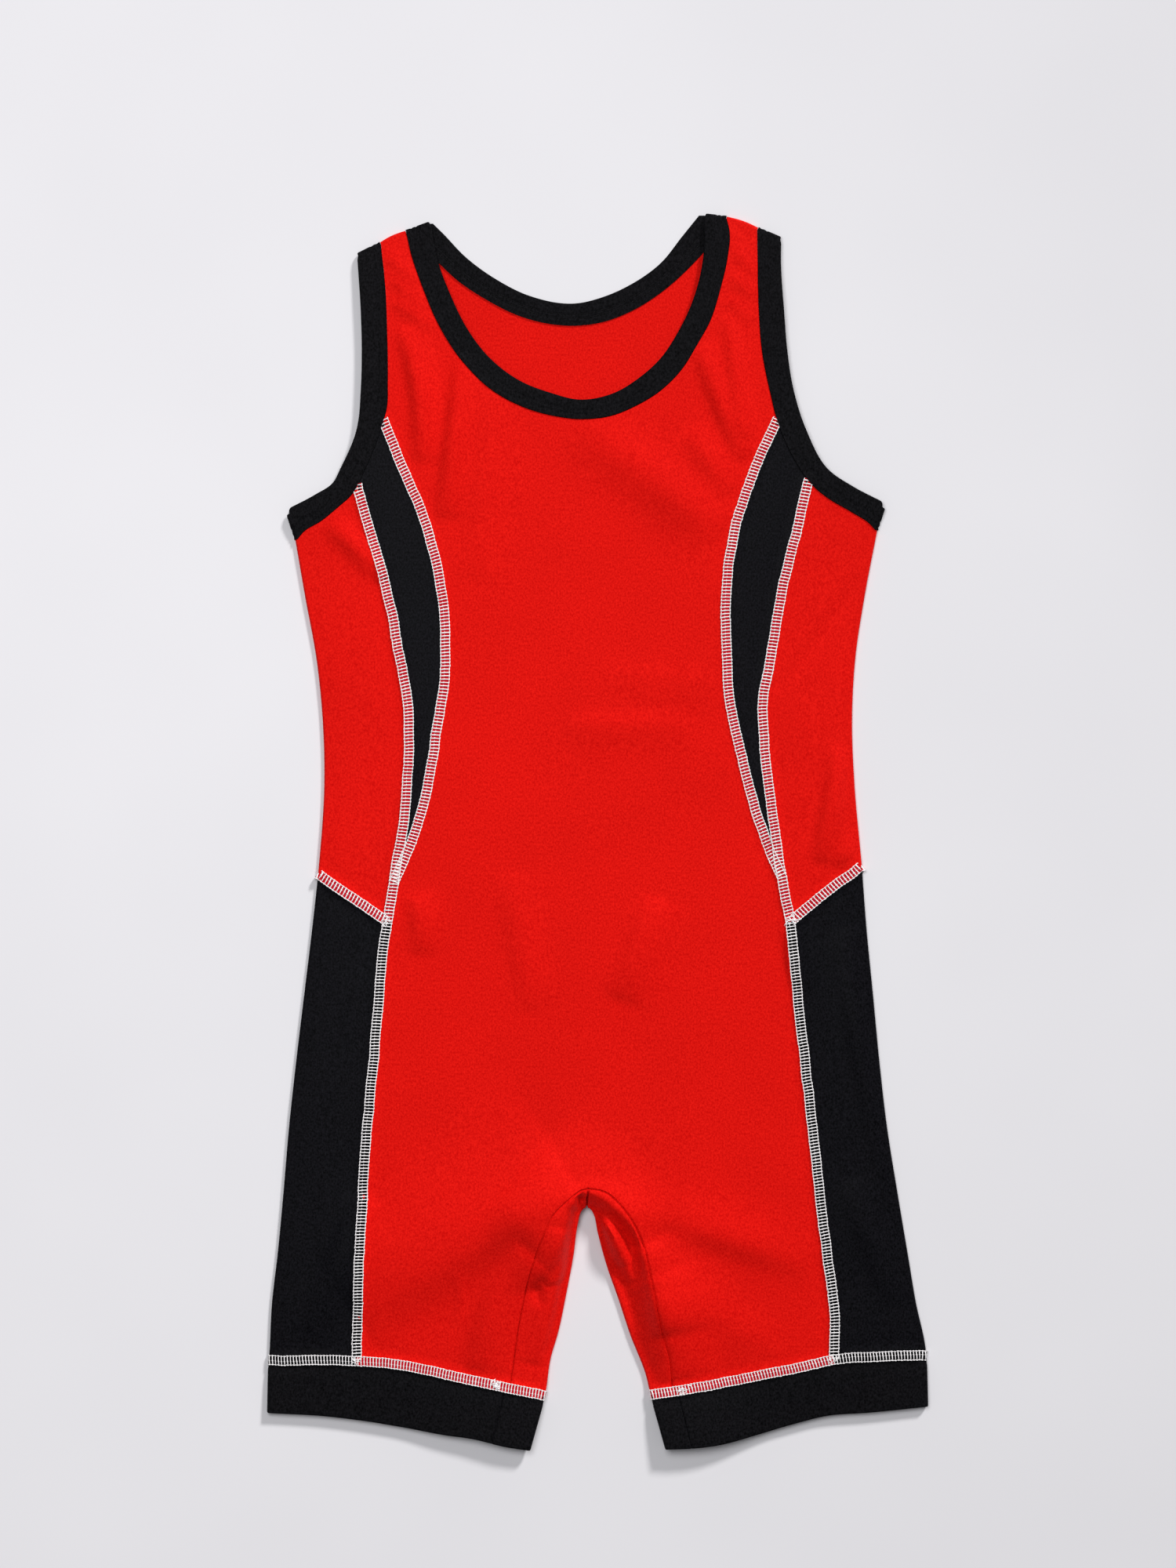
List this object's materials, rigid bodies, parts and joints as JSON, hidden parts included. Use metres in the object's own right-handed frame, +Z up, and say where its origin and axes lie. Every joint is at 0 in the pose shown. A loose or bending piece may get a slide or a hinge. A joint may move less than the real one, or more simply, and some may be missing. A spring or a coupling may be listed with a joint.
{
  "type": "wrestling singlet",
  "caption": "One-piece wrestling singlet laid flat: scooped neck, open armholes, curved side inserts, thigh panels, inner-leg gussets and hem bands.",
  "frame": {"origin": "on the surface below the garment, under the middle of its box", "axes": "+Z up out of the surface, front of the garment facing +Z, +Y from the hems to the shoulders, +X to the right of someone who looks down at the front"},
  "size_m": [0.3875, 0.7247, 0.0103],
  "materials": {
    "red_knit": "satin",
    "black_knit": "satin",
    "black_band": "matte",
    "white_thread": "matte",
    "black_thread": "matte",
    "red_thread": "matte"
  },
  "bodies": {
    "root": {"front_panel": "red_knit", "back_panel": "red_knit", "side_left": "red_knit", "side_right": "red_knit", "gusset_left": "red_knit", "gusset_right": "red_knit", "insert_left": "black_knit", "insert_right": "black_knit", "thigh_left": "black_knit", "thigh_right": "black_knit", "hem_band_left": "black_band", "hem_band_right": "black_band", "neck_binding": "black_band", "armhole_binding_left": "black_band", "armhole_binding_right": "black_band"}
  },
  "joints": []
}
